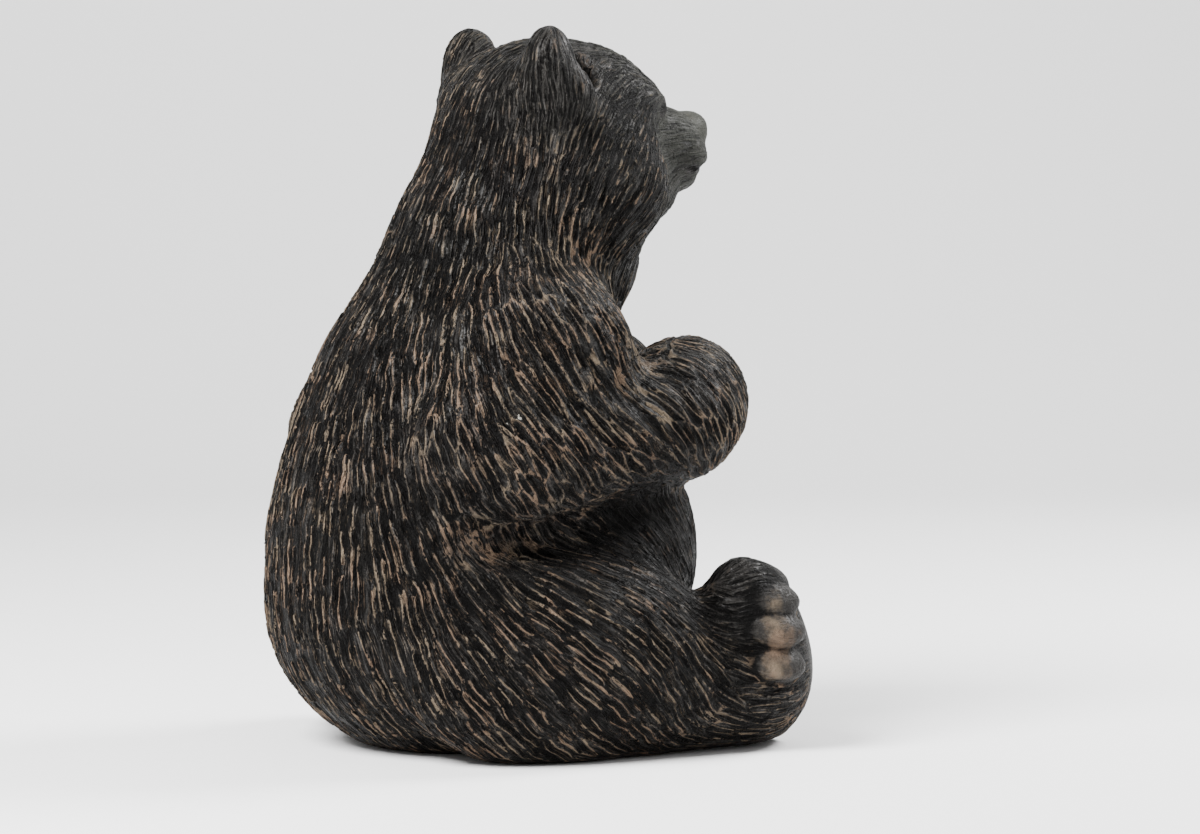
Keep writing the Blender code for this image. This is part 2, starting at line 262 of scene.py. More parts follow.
def masses():
    for mass in TRUNK.values():
        yield mass
    for mass in (*PAIRS.values(), *fingers(), *toes()):
        yield mass
        yield mass.mirrored()


def form(points):
    """Distance from the cub's surface, in shares of its height and negative inside it."""
    distance = np.full(len(points), 1.0)
    for mass in masses():
        near = mass.close_to(points)
        distance[near] = soft_union(distance[near], mass.distance(points[near]), mass.blend)
    for hollow in HOLLOWS.values():
        for tool in (hollow, hollow.mirrored()):
            near = tool.close_to(points)
            distance[near] = soft_cut(distance[near], tool.distance(points[near]), tool.blend)
    return soft_cut(distance, points[:, 2], BASE_ROUND)


def slope(points, here):
    """How the distance grows along each axis."""
    return np.stack([form(points + step) - here for step in np.eye(3) * PROBE], axis=1) / PROBE


@dataclass
class Comb:
    """The fur round a place: the way it runs, its strokes' width, length and depth, and its stains and
    painted shade.
    """

    at: tuple
    way: tuple
    width: float
    length: float
    depth: float
    tan: float
    green: float

    def mirrored(self):
        (side, ahead, up), (out, on, high) = self.at, self.way
        return replace(self, at=(-side, ahead, up), way=(-out, on, high))


# A comb's green above 0 is grey-green bloom. Below 0 it is painted shade that darkens the stain towards its
# near-black shade colour: in the ear cups, on the belly, and under the arms, where it stands for soot as
# well; the legs by the feet are a little darker.
COMBS = [
    Comb((0, .30, .88), (0, -1, .1), .008, .040, .0010, .05, .9),
    Comb((0, .32, .80), (0, -1, .1), .008, .040, .0010, .05, .9),
    Comb((.06, .26, .83), (.1, -1, -.1), .008, .035, .0014, .08, .9),
    Comb((.05, .20, .95), (0, -1, .6), .008, .026, .0032, .20, .8),
    Comb((.05, .05, .99), (0, -1, -.1), .0085, .028, .0036, .35, .6),
    Comb((0, -.10, .85), (0, -.35, -1), .011, .058, .0048, .70, .25),
    Comb((.15, .15, .80), (.2, -.5, -.9), .010, .036, .0054, .65, .35),
    Comb((.13, .20, .86), (.2, -.7, -.6), .0085, .028, .0038, .45, .6),
    Comb((.08, .22, .75), (.2, -.3, -1), .010, .034, .0034, .25, .5),
    Comb((.14, .12, .92), (.3, -.8, -.4), .0085, .026, .0038, .45, .5),
    Comb((.125, 0, .95), (0, -.2, -1), .0085, .045, .0034, .65, .2),
    Comb((.16, .05, .93), (.1, .3, -1), .008, .050, .0024, .40, .2),
    Comb((.13, .085, .94), (0, 0, -1), .008, .040, .0008, .10, -.6),
    Comb((.16, .03, .68), (.1, -.1, -1), .012, .070, .0058, .75, .2),
    Comb((0, .24, .65), (0, -.1, -1), .011, .060, .0040, .25, .3),
    Comb((0, -.25, .50), (0, -.25, -1), .0115, .085, .0062, .85, 0),
    Comb((.12, -.33, .25), (0, 0, -1), .0115, .080, .0060, .90, 0),
    Comb((.10, -.28, .06), (0, .5, -1), .012, .070, .0050, .95, 0),
    Comb((.20, -.15, .35), (.1, .35, -1), .012, .090, .0064, .70, 0),
    Comb((.24, -.12, .50), (.1, .20, -1), .012, .095, .0066, .75, .1),
    Comb((.25, .02, .55), (.1, .50, -1), .012, .105, .0068, .75, 0),
    Comb((.28, -.06, .45), (0, .60, -.8), .012, .110, .0070, .80, 0),
    Comb((.27, .10, .43), (-.1, .75, -.65), .012, .110, .0068, .80, 0),
    Comb((.20, .26, .42), (-.3, .45, -.9), .011, .080, .0058, .80, .1),
    Comb((.15, .26, .56), (-.3, .3, -1), .010, .065, .0044, .60, .2),
    Comb((.05, .36, .45), (-1, 0, -.2), .008, .040, .0018, .35, .35),
    Comb((.22, .12, .335), (.1, .8, -.5), .010, .055, .0034, .05, -1),
    Comb((.20, .17, .295), (.1, .6, -.8), .009, .045, .0034, .15, -.5),
    Comb((.25, .05, .28), (.1, .8, -.55), .012, .075, .0054, .45, 0),
    Comb((.24, -.13, .33), (.1, .5, -.9), .012, .085, .0060, .30, -.2),
    Comb((.32, 0, .15), (0, .75, -.6), .0115, .075, .0064, 1, 0),
    Comb((.31, -.10, .10), (0, .6, -.7), .0115, .070, .0060, 1, 0),
    Comb((.30, .18, .12), (0, .5, -.9), .0105, .070, .0056, .85, 0),
    Comb((.24, .22, .20), (.1, .6, -.75), .009, .060, .0042, .35, -.2),
    Comb((.28, .30, .04), (0, 1, -.15), .009, .060, .0040, .80, 0),
    Comb((.30, .33, .10), (0, 1, .1), .0085, .055, .0036, .65, 0),
    Comb((.27, .27, .20), (0, 1, .3), .008, .040, .0026, .15, -.1),
    Comb((.22, .28, .26), (0, .8, .6), .008, .045, .0024, .20, .3),
    Comb((.21, .40, .12), (0, 0, 1), .009, .030, .0008, .25, .2),
    Comb((0, .33, .30), (0, .1, -1), .009, .050, .0032, .15, -.3),
    Comb((.12, .28, .27), (0, .2, -1), .009, .050, .0034, .10, -.7),
]
CHIPS = (((.111, -.256, .445), .007), ((.098, -.262, .434), .005), ((.295, -.087, .475), .006),
         ((.286, -.102, .462), .005), ((.056, -.313, .294), .005), ((-.130, -.230, .520), .006))

CLUMPS = dict(grow=2.5, spacing=0.80, rim=0.9, share=0.40)  # broad clumps of strokes
STROKES = dict(grow=1.0, spacing=0.80, rim=0.60, share=1.0)
OPEN_ENDS = (0.48, 0.76)  # a ridge stands up where the strokes that it parts lie this much side by side
STROKE_TRIES = 70000  # places tried for the middle of a stroke
STROKE_BATCHES = 50
WAVE_SEED, BOLD_SEED, CROWD_SEED = 11, 5, 3
NEIGHBOURS = 24  # strokes round a point that are tried as its own
WAVES = 12  # sine waves summed to bend the strokes
WAVE_LENGTH = 0.065  # about how long those waves are
BEND = 0.17  # how far the waves move a stroke, as a share of its width
COMB_REACH = 0.05  # how near to a comb its own lie outweighs the others'
FULL_DEPTH = 0.004  # carving at least this deep parts the strokes fully
TOUCH = 0.006  # how far off a bare place its smooth skin fades
SOLE = Egg((.214, .378, .118), (.058, .026, .094), turn=(-17, FOOT_LEAN, 8))  # the bare pad of each foot
DARK_LINES = ("nostril", "philtrum", "mouth", "mouth_corner")
DARK_REACH = 0.0025  # how far off them, and off the eyes, the dark fades; in the nostrils and mouth it is painted shade
SNUG = 0.003  # how far off a toe or finger its own stain fades; the painted shade in the gaps round it reaches three times as far
KNUCKLE = 0.026  # how far along each toe its worn patch reaches
KNUCKLE_WEAR = 0.5  # how strong that patch is
KNUCKLE_BACK = 0.018  # how far behind the middle of the toe that patch is
SPREAD = 0.37  # how far the fine lines of each stroke are shifted from those of the one before
PART = 40000  # points worked on at a time


@dataclass
class Coat:
    """The fur's lie, sizes, stains and painted shade at each point of a surface."""

    way: np.ndarray
    width: np.ndarray
    length: np.ndarray
    depth: np.ndarray
    tan: np.ndarray
    green: np.ndarray


def combed(points, normals):
    """The coat on each point of the surface, blended from the combs round it."""
    way, blend, total = np.zeros((len(points), 3)), np.zeros((len(points), 5)), np.zeros((len(points), 1))
    for comb in COMBS:
        for guide in {comb.at[0]: comb, -comb.at[0]: comb.mirrored()}.values():
            away = ((points - place(*guide.at)) ** 2).sum(axis=1, keepdims=True)
            pull = 1 / (away + COMB_REACH**2) ** 2
            heading = place(*guide.way)
            way += pull * heading / np.linalg.norm(heading)
            blend += pull * (guide.width, guide.length, guide.depth, guide.tan, guide.green)
            total += pull
    way -= normals * (way * normals).sum(axis=1, keepdims=True)
    return Coat(way / np.linalg.norm(way, axis=1, keepdims=True), *(blend / total).T)


def in_parts(work, rows):
    """The work done on a part of the rows at a time, which keeps the memory small."""
    return np.concatenate([work(part) for part in np.array_split(rows, len(rows) // PART + 1)])


def bent(points, bend):
    """The points moved by smooth waves, so that straight strokes come out wavy."""
    rng = np.random.default_rng(WAVE_SEED)
    moved = points.copy()
    for _ in range(WAVES):
        wave = rng.normal(size=3) * 2 * pi / WAVE_LENGTH
        push = rng.normal(size=3) * bend[:, None] / WAVES**0.5
        moved += np.sin(points @ wave + rng.uniform(0, 2 * pi))[:, None] * push
    return moved


def planted(places):
    tree = KDTree(len(places))
    for number, at in enumerate(places):
        tree.insert(at, number)
    tree.balance()
    return tree


def nearest(places, tree, count):
    return np.array([[number for _, number, _ in tree.find_n(at, count)] for at in places])


def smooth_step(values, low, high):
    """Rises smoothly from 0 at low to 1 at high."""
    share = np.clip((values - low) / (high - low), 0, 1)
    return share**2 * (3 - 2 * share)


def stroke_gap(gap, way, width, length):
    """How far apart points are when the gap is measured in lengths and widths of a stroke."""
    along = (gap * way).sum(axis=-1)
    across = np.maximum((gap**2).sum(axis=-1) - along**2, 0)
    return np.sqrt((along / length) ** 2 + across / width**2)


@dataclass
class Strokes:
    """The middles of the strokes, with the lie and size of each."""

    middles: np.ndarray
    way: np.ndarray
    width: np.ndarray
    length: np.ndarray
    rim: float
    tree: KDTree

    def ranked(self, places):
        """The two strokes closest to each place, and how far off they are."""
        near = nearest(places, self.tree, min(NEIGHBOURS, len(self.middles)))
        gap = places[:, None] - self.middles[near]
        gaps = stroke_gap(gap, self.way[near], self.width[near], self.length[near])
        order = np.argsort(gaps, axis=1)[:, :2]
        return np.take_along_axis(near, order, axis=1), np.take_along_axis(gaps, order, axis=1)

    def beside(self, near):
        """How far two strokes lie side by side, from 0 when one is at the other's end."""
        first = near[:, 0]
        gap = self.middles[near[:, 1]] - self.middles[first]
        along = (gap * self.way[first]).sum(axis=1)
        across = np.sqrt(np.maximum((gap**2).sum(axis=1) - along**2, 0)) / self.width[first]
        return across / (across + np.abs(along) / self.length[first] + 1e-9)

    def hollow(self, places):
        """How deep each place lies in its stroke, from 0 on a ridge to 1, and how bold the stroke is."""
        near, gaps = self.ranked(places)
        boldness = np.random.default_rng(BOLD_SEED).uniform(0, 1, len(self.middles))[near]
        share = gaps[:, 1] / gaps.sum(axis=1)
        rim = np.clip((gaps[:, 1] - gaps[:, 0]) / self.rim, 0, 1)
        ridge = 1 - (rim * (2 - rim) + rim**2 * (3 - 2 * rim)) / 2
        ridge *= smooth_step(self.beside(near), *OPEN_ENDS)
        return np.stack([1 - ridge, boldness[:, 0] * share + boldness[:, 1] * (1 - share)], axis=1)


def laid_out(places, coat, grow, spacing, rim, **_):
    """Places strokes over the surface so that none lies on another's.

    grow is their size against the coat's own, spacing is how near one may lie to the next, and rim is
    how far the slope beside a ridge reaches.
    """
    width, length = coat.width * grow, coat.length * grow

    def clear_of(batch, others, number):
        """Which of the batch lie off all the others that come before them."""
        near = nearest(places[batch], planted(places[others]), min(NEIGHBOURS, len(others)))
        gap = places[others[near]] - places[batch][:, None]
        gaps = stroke_gap(gap, coat.way[batch][:, None], width[batch][:, None], length[batch][:, None])
        return ((gaps > spacing) | (near >= number[:, None])).all(axis=1)

    crowd = np.random.default_rng(CROWD_SEED).exponential(size=len(places)) * width * length
    kept = np.empty(0, int)
    for batch in np.array_split(np.argsort(crowd)[:STROKE_TRIES], STROKE_BATCHES):
        if len(kept):
            batch = batch[clear_of(batch, kept, np.full(len(batch), len(kept)))]
        if len(batch):
            batch = batch[clear_of(batch, batch, np.arange(len(batch)))]
        kept = np.concatenate([kept, batch])
    middles = places[kept]
    return Strokes(middles, coat.way[kept], width[kept], length[kept], rim, planted(middles))


def carved(places, levels):
    """The depth of the carving at each place, as a share of its full depth, and the strokes' own hollow."""
    clump, stroke = (in_parts(strokes.hollow, places) for strokes in levels)
    depth = CLUMPS["share"] * clump[:, 0] + STROKES["share"] * stroke[:, 0] * (0.5 + 0.5 * stroke[:, 1])
    return depth / (CLUMPS["share"] + STROKES["share"]), stroke[:, 0]


def corners(mesh):
    points = np.empty(len(mesh.vertices) * 3)
    mesh.vertices.foreach_get("co", points)
    return points.reshape(-1, 3)


def move_corners(mesh, points):
    mesh.vertices.foreach_set("co", points.ravel())
    mesh.update()


def outward(mesh):
    normals = np.empty(len(mesh.vertices) * 3)
    mesh.vertices.foreach_get("normal", normals)
    return normals.reshape(-1, 3)


def press_to_form(mesh, rounds):
    """Moves each point onto the surface that form() describes."""
    points = corners(mesh)
    for _ in range(rounds):
        here = form(points)
        rise = slope(points, here)
        move = here / np.maximum((rise**2).sum(axis=1), LEAST_SLOPE)
        points -= rise * np.clip(move, -PRESS_REACH, PRESS_REACH)[:, None]
    move_corners(mesh, points)


def evaluated(thing):
    """Applies the object's modifiers."""
    mesh = bpy.data.meshes.new_from_object(thing.evaluated_get(bpy.context.evaluated_depsgraph_get()))
    old = thing.data
    thing.modifiers.clear()
    thing.data = mesh
    bpy.data.meshes.remove(old)


def fuse(thing, step):
    """Makes one closed skin of the masses, from cells of this size."""
    remesh = thing.modifiers.new("Fuse", "REMESH")
    remesh.mode = "VOXEL"
    remesh.voxel_size = step
    evaluated(thing)


def modelled(name, shapes):
    """One object with a closed mesh for each shape."""
    clay = bmesh.new()
    for shape in shapes:
        shape.add_to(clay)
    mesh = bpy.data.meshes.new(name)
    clay.to_mesh(mesh)
    clay.free()
    thing = bpy.data.objects.new(name, mesh)
    bpy.context.scene.collection.objects.link(thing)
    return thing


def rough_cub(name):
    """The masses fused in one skin, with the deep hollows cut out of it."""
    cub = modelled(name, masses())
    fuse(cub, CLAY_STEP)
    deep = [HOLLOWS[kind] for kind in DEEP]
    tools = modelled("hollows", (side for hollow in deep for side in (hollow, hollow.mirrored())))
    cut = cub.modifiers.new("Cut", "BOOLEAN")
    cut.operation = "DIFFERENCE"
    cut.solver = "EXACT"
    cut.object = tools
    evaluated(cub)
    bpy.data.objects.remove(tools)
    return cub


def smooth_form(cub, step):
    """The uncarved cub: its skin pressed to the form, then made twice as fine."""
    for size in (CLAY_STEP, step):
        fuse(cub, size)
        press_to_form(cub.data, PRESS_ROUNDS)
    finer = cub.modifiers.new("Finer", "SUBSURF")
    finer.levels = finer.render_levels = 1
    evaluated(cub)


def thin_out(cub, faces):
    """Joins the smallest faces until this many triangles are left."""
    cub.data.calc_loop_triangles()
    decimate = cub.modifiers.new("Thin out", "DECIMATE")
    decimate.ratio = faces / len(cub.data.loop_triangles)
    decimate.use_collapse_triangulate = True
    evaluated(cub)


def store(mesh, name, values):
    layer = mesh.attributes.new(name, "FLOAT", "POINT")
    layer.data.foreach_set("value", values.astype(np.float32))


def note_strokes(mesh, places, strokes):
    """A UV map that runs along and across the stroke that each face lies in."""
    mesh.calc_loop_triangles()
    faces = np.empty(len(mesh.loop_triangles) * 3, np.int32)
    loops = np.empty(len(mesh.loop_triangles) * 3, np.int32)
    mesh.loop_triangles.foreach_get("vertices", faces)
    mesh.loop_triangles.foreach_get("loops", loops)
    faces, loops = faces.reshape(-1, 3), loops.reshape(-1, 3)
    own = in_parts(lambda part: strokes.ranked(part)[0][:, :1], places[faces].mean(axis=1))[:, 0]
    across = np.cross(outward(mesh)[faces[:, 0]], strokes.way[own])
    gap = places[faces] - strokes.middles[own][:, None]
    spread = own[:, None] * SPREAD
    run = np.stack([(gap * strokes.way[own][:, None]).sum(axis=2) + spread,
                    (gap * across[:, None]).sum(axis=2) + spread], axis=2)
    corner = np.empty((len(mesh.loops), 2), np.float32)
    corner[loops] = run
    mesh.uv_layers.new(name="strokes").data.foreach_set("uv", corner.ravel())


def spotted(points, spots):
    """1 in the middle of each spot, fading to 0 round it."""
    shade = np.zeros(len(points))
    for middle, reach in spots:
        shade = np.maximum(shade, np.exp(-((points - middle) ** 2).sum(axis=1) / reach**2))
    return shade


def closeness(points, shapes, reach):
    """1 on and in the shapes and their mirrored ones, fading to 0 round them."""
    sides = [side for shape in shapes for side in (shape, shape.mirrored())]
    away = np.min([side.distance(points) for side in sides], axis=0)
    return np.exp(-((np.maximum(away, 0) / reach) ** 2))


def bareness(points):
    """1 where there is no fur: on the toes, fingers, soles, nose and eyes."""
    return closeness(points, (*toes(), *fingers(), SOLE, TRUNK["nose"], PAIRS["eye"]), TOUCH)


def darkness(points):
    """1 on the eyes and in the nostrils and mouth: the dark eyes, and painted shade in the nostrils and
    mouth.
    """
    return closeness(points, [PAIRS["eye"], *(HOLLOWS[name] for name in DARK_LINES)], DARK_REACH)


def knuckles(points):
    """How worn the stain is on the toes: most on the back of each, and 0 in the gaps and at the tips."""
    ahead = PAIRS["foot"].middle[1] - TOE_BACK - KNUCKLE_BACK
    along = np.exp(-(((-points[:, 1] - ahead) / KNUCKLE) ** 2))
    return KNUCKLE_WEAR * closeness(points, toes(), SNUG) * along


def gaps(points):
    """1 in the gaps round the toes and fingers, where painted shade is laid."""
    digits = (*toes(), *fingers())
    return closeness(points, digits, 3 * SNUG) - closeness(points, digits, SNUG)


def carve(cub, faces, boldness):
    """Carves the fur into the smooth form, thins the mesh out, and notes on it the relief and stains, which
    also carry painted shade.
    """
    points, normals = corners(cub.data), outward(cub.data)
    coat = combed(points, normals)
    places = bent(points, coat.width * BEND)
    levels = [laid_out(places, coat, **level) for level in (CLUMPS, STROKES)]
    kept = np.clip(points[:, 2] / (2 * BASE_ROUND), 0, 1) * (1 - bareness(points))
    depth = carved(places, levels)[0] * coat.depth * kept * boldness
    move_corners(cub.data, points - normals * depth[:, None])
    thin_out(cub, faces)
    points = corners(cub.data)
    coat = combed(points, outward(cub.data))
    places = bent(points, coat.width * BEND)
    depth, hollow = carved(places, levels)
    bare = bareness(points)
    parted = np.clip(coat.depth / FULL_DEPTH, 0, 1) * (1 - bare)
    store(cub.data, "crest", 1 - hollow * parted)
    # Relief sets the painted shade: near black in deep carving and in the gaps round the toes and fingers
    store(cub.data, "relief", 1 - depth * parted - gaps(points))
    store(cub.data, "bare", bare)
    store(cub.data, "tan", np.maximum(coat.tan * parted, knuckles(points)))
    # Green below 0 is painted shade; the dark eyes and the painted shade in the nostrils and mouth are laid
    # through it
    dark = darkness(points)
    store(cub.data, "green", coat.green * (1 - dark) - 0.9 * dark)
    store(cub.data, "chips", spotted(points, [(place(*at), reach) for at, reach in CHIPS]))
    note_strokes(cub.data, places, levels[1])


def seat(mesh, box):
    """Lays the lowest points flat and fits the cub in the solid's box."""
    points = corners(mesh)
    points[:, 2] = np.where(points[:, 2] < BASE_SNAP, 0, points[:, 2])
    low, high = points.min(axis=0), points.max(axis=0)
    box_low, box_high = np.array(box[0]), np.array(box[1])
    points = box_low + (points - low) * (box_high - box_low) / (high - low)
    move_corners(mesh, points)


LINE_SHARE = 0.07  # how wide a fine line in the fur is, as a share of its length
PATCHES, HUES, BLOTCHES, SPECKS, GRIT = 22, 45, 110, 420, 700  # spots to a metre of the stain's own patterns


class Value:
    """A number in a material's maths: arithmetic on it adds Math nodes."""

    def __init__(self, paint, socket):
        self.paint, self.socket = paint, socket

    def worked(self, operation, *values):
        inputs = {number: value for number, value in enumerate(values)}
        node = self.paint.node("ShaderNodeMath", {"operation": operation}, inputs)
        return Value(self.paint, node.outputs[0])

    def __add__(self, other):
        return self.worked("ADD", self, other)

    def __sub__(self, other):
        return self.worked("SUBTRACT", self, other)

    def __rsub__(self, other):
        return self.worked("SUBTRACT", other, self)

    def __mul__(self, other):
        return self.worked("MULTIPLY", self, other)

    __radd__ = __add__
    __rmul__ = __mul__

    def step(self, low, high):
        """Rises smoothly from 0 at low to 1 at high."""
        settings = {"interpolation_type": "SMOOTHSTEP"}
        inputs = {"Value": self, "From Min": low, "From Max": high}
        node = self.paint.node("ShaderNodeMapRange", settings, inputs)
        return Value(self.paint, node.outputs["Result"])

    def swing(self, share):
        """Goes from -share / 2 to share / 2 as the value goes from 0 to 1."""
        return (self - 0.5) * share

    def clamped(self):
        return Value(self.paint, self.paint.node("ShaderNodeClamp", {}, {"Value": self}).outputs[0])


class Paint:
    """One material and the nodes that are added to it."""

    def __init__(self, name):
        self.material = bpy.data.materials.new(name)
        self.material.use_nodes = True
        self.tree = self.material.node_tree
        self.surface = self.tree.nodes["Principled BSDF"]

    def node(self, kind, settings, inputs):
        node = self.tree.nodes.new(kind)
        for name, setting in settings.items():
            setattr(node, name, setting)
        for name, value in inputs.items():
            self.feed(node.inputs[name], value)
        return node

    def feed(self, socket, value):
        if isinstance(value, Value):
            self.tree.links.new(value.socket, socket)
        elif isinstance(value, bpy.types.NodeSocket):
            self.tree.links.new(value, socket)
        else:
            socket.default_value = value

    def noise(self, scale, detail, roughness):
        """An even grain, with about this many spots to a metre."""
        run = self.node("ShaderNodeTexCoord", {}, {}).outputs["Object"]
        inputs = {"Vector": run, "Scale": scale, "Detail": detail, "Roughness": roughness}
        return Value(self, self.node("ShaderNodeTexNoise", {}, inputs).outputs["Fac"])

    def stroke_lines(self, scale):
        """Fine lines that run along each stroke."""
        run = self.node("ShaderNodeUVMap", {"uv_map": "strokes"}, {}).outputs[0]
        drawn = self.node("ShaderNodeMapping", {}, {"Vector": run, "Scale": (LINE_SHARE, 1, 1)}).outputs[0]
        inputs = {"Vector": drawn, "Scale": scale, "Detail": 2, "Roughness": 0.6}
        return Value(self, self.node("ShaderNodeTexNoise", {}, inputs).outputs["Fac"])

    def attribute(self, name):
        return Value(self, self.node("ShaderNodeAttribute", {"attribute_name": name}, {}).outputs["Fac"])

    def mix(self, share, first, second):
        settings = {"data_type": "RGBA", "blend_type": "MIX"}
        node = self.node("ShaderNodeMix", settings, {"Factor": share, 6: first, 7: second})
        return node.outputs[2]

    def bump(self, height, depth, strength):
        inputs = {"Height": height, "Distance": depth, "Strength": strength}
        return self.node("ShaderNodeBump", {}, inputs).outputs["Normal"]


def stained_concrete(look):
    """Dark stained concrete, dry-brushed with tan on its ridges and grey-green on its head and paws, with
    painted shade in its grooves and painted glints on its finest lines.
    """
    paint = Paint("stained_concrete")
    relief, crest, bare, tan, green, chips = (
        paint.attribute(name) for name in ("relief", "crest", "bare", "tan", "green", "chips"))
    patches = paint.noise(PATCHES, 3, 0.6)
    blotches = paint.noise(BLOTCHES, 3, 0.6)
    grit = paint.noise(GRIT, 3, 0.65)
    furred = 1 - 0.8 * bare
    lines = 0.5 + paint.stroke_lines(look.hair).step(0.32, 0.68).swing(furred)
    hairs = paint.stroke_lines(1.25 * look.hair).step(0.54, 0.70) * furred
    hairs = hairs * (grit + blotches - 0.5).step(0.30, 0.60)
    ragged = crest + lines.swing(0.30) + blotches.swing(0.50) + grit.swing(0.25)
    # The dark stain, with painted shade near black in the grooves and hollows, and the finest lines a little
    # paler
    painted_light = (relief + lines.swing(0.8) + grit.swing(0.6)).step(0.35, 1.05) * (1 + green).clamped()
    stone = paint.mix(painted_light, (*look.groove_shade, 1), (*look.body, 1))
    # Painted glints on the finest lines, strongest where the painted light falls
    stone = paint.mix((hairs * painted_light * look.hairline_glints).clamped(), stone, (*look.hairline_glint_colour, 1))
    # The grey-green bloom, in patches
    bloom = (green * ragged.step(0.25, 0.95) * (0.35 + 1.1 * patches)).clamped()
    stone = paint.mix(bloom * look.bloom, stone, (*look.green, 1))
    # The worn ridges, tan to copper
    worn = (tan + patches.swing(1.0) + blotches.swing(1.2)).step(0.18, 0.85)
    brushed = (ragged.step(0.58, 0.90) * (0.65 + 0.60 * lines) + 0.4 * hairs).clamped() * worn
    hue = paint.mix(paint.noise(HUES, 2, 0.5).step(0.42, 0.62), (*look.tan, 1), (*look.copper, 1))
    stone = paint.mix((brushed * look.brushing).clamped(), stone, hue)
    # The small broken places, pale and ragged
    broken = (chips + paint.noise(SPECKS, 2, 0.5).swing(2.2)).step(0.60, 0.70) * chips.step(0.1, 0.4)
    stone = paint.mix(broken.clamped(), stone, (*look.chip, 1))
    paint.feed(paint.surface.inputs["Base Color"], stone)
    # Dull where it is brushed, with glints of wax on the dark stain
    rough = 0.50 + 0.35 * brushed + blotches.swing(0.60) + 0.25 * bloom
    paint.feed(paint.surface.inputs["Roughness"], rough.clamped())
    paint.surface.inputs["Specular IOR Level"].default_value = look.dullness
    glints = (blotches + grit.swing(1.2)).step(0.35, 0.70)
    wax = (painted_light * (1 - 0.7 * brushed) * (1 - 0.75 * bloom) * glints).clamped()
    paint.feed(paint.surface.inputs["Coat Weight"], wax * look.sheen)
    paint.surface.inputs["Coat Roughness"].default_value = 0.36
    height = 0.9 * grit + lines + 0.8 * blotches
    paint.feed(paint.surface.inputs["Normal"], paint.bump(height, look.grain, 1.0))
    return paint.material


class LookSettings(bpy.types.PropertyGroup):
    """Colours and finish of the concrete, with its painted shade and glints."""

    # Painted shade: the colour the stain turns to deep in the carving and in hollows
    groove_shade: FloatVectorProperty(name="Grooves", description="Colour deep in the carving", subtype="COLOR",
                                default=(0.0022, 0.0020, 0.0019), min=0, max=1)
    body: FloatVectorProperty(name="Body", description="Colour of the dark stain", subtype="COLOR",
                              default=(0.022, 0.0202, 0.0187), min=0, max=1)
    tan: FloatVectorProperty(name="Tan", description="Colour brushed on the ridges", subtype="COLOR",
                             default=(0.160, 0.124, 0.087), min=0, max=1)
    copper: FloatVectorProperty(name="Copper", description="Warmer colour brushed on some ridges",
                                subtype="COLOR", default=(0.168, 0.114, 0.078), min=0, max=1)
    green: FloatVectorProperty(name="Grey-green", description="Colour of the bloom on the head",
                               subtype="COLOR", default=(0.068, 0.071, 0.060), min=0, max=1)
    chip: FloatVectorProperty(name="Chips", description="Colour of bare concrete", subtype="COLOR",
                              default=(0.50, 0.48, 0.42), min=0, max=1)
    # Painted glints: the colour of the finest lines where the painted light falls
    hairline_glint_colour: FloatVectorProperty(name="Hairlines", description="Colour of the finest lines",
                                  subtype="COLOR", default=(0.100, 0.094, 0.088), min=0, max=1)
    # Strength of the painted glints on the finest lines
    hairline_glints: FloatProperty(name="Dust", description="How strongly the finest lines show", subtype="FACTOR",
                        default=0.75, min=0, max=1)
    brushing: FloatProperty(name="Brushing", description="How strongly the ridges are brushed with tan",
                            subtype="FACTOR", default=0.95, min=0, max=1)
    bloom: FloatProperty(name="Bloom", description="How strong the grey-green bloom is", subtype="FACTOR",
                         default=0.70, min=0, max=1)
    dullness: FloatProperty(name="Dull gloss", description="How strongly the bare stone reflects",
                            subtype="FACTOR", default=0.07, min=0, max=1)
    sheen: FloatProperty(name="Sheen", description="How strongly the wax on the ridges reflects",
                         subtype="FACTOR", default=0.20, min=0, max=1)
    grain: FloatProperty(name="Grain", description="Depth of the fine lines and the concrete's grain",
                         unit="LENGTH", default=0.0022, min=0, max=0.01)
    hair: FloatProperty(name="Hair", description="Fine lines across one height of the cub", default=260,
                        min=50, max=2000)


class CubSettings(bpy.types.PropertyGroup):
    """Fineness and depth of the carving."""

    cell: FloatProperty(name="Cell", description="Cell of the smooth form, as a share of the height",
                        default=0.0050, min=0.002, max=0.02)
    faces: IntProperty(name="Faces", description="Triangles kept in the casting", default=197000, min=5000,
                       max=199000)
    boldness: FloatProperty(name="Boldness", description="Depth of every stroke, against the carver's own",
                            subtype="FACTOR", default=1.2, min=0, max=2)


class StageSettings(bpy.types.PropertyGroup):
    """Floor, light and camera."""

    floor: FloatVectorProperty(name="Floor", description="Colour of the floor and backdrop", subtype="COLOR",
                               default=(0.94, 0.94, 0.94), min=0, max=1)
    key: FloatProperty(name="Key light", description="Power of the large light", unit="POWER", default=122,
                       min=0)
    fill: FloatProperty(name="Fill light", description="Strength of the light from all round", default=0.58,
                        min=0)
    behind: FloatProperty(name="Behind", description="How far the camera stands behind the cub's right side",
                          subtype="ANGLE", default=radians(27))
    distance: FloatProperty(name="Distance", description="Camera's distance, in heights of the cub",
                            default=6.5, min=2)
    eye: FloatProperty(name="Eye level", description="Camera's height, in heights of the cub", default=0.90)


class STATUE_OT_cast_cub(bpy.types.Operator):
    """Models the carved casting and stains it"""

    bl_idname = "statue.cast_cub"
    bl_label = "Cast cub"

    def execute(self, context):
        settings = context.scene.bear_cub
        cub = rough_cub("bear_casting")
        smooth_form(cub, settings.cell)
        carve(cub, settings.faces, settings.boldness)
        seat(cub.data, CAD_BOX)
        cub.data.shade_smooth()
        cub.data.materials.clear()
        cub.data.materials.append(stained_concrete(context.scene.bear_look))
        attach(cub, "root")
        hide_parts("bear_cub")
        return {"FINISHED"}


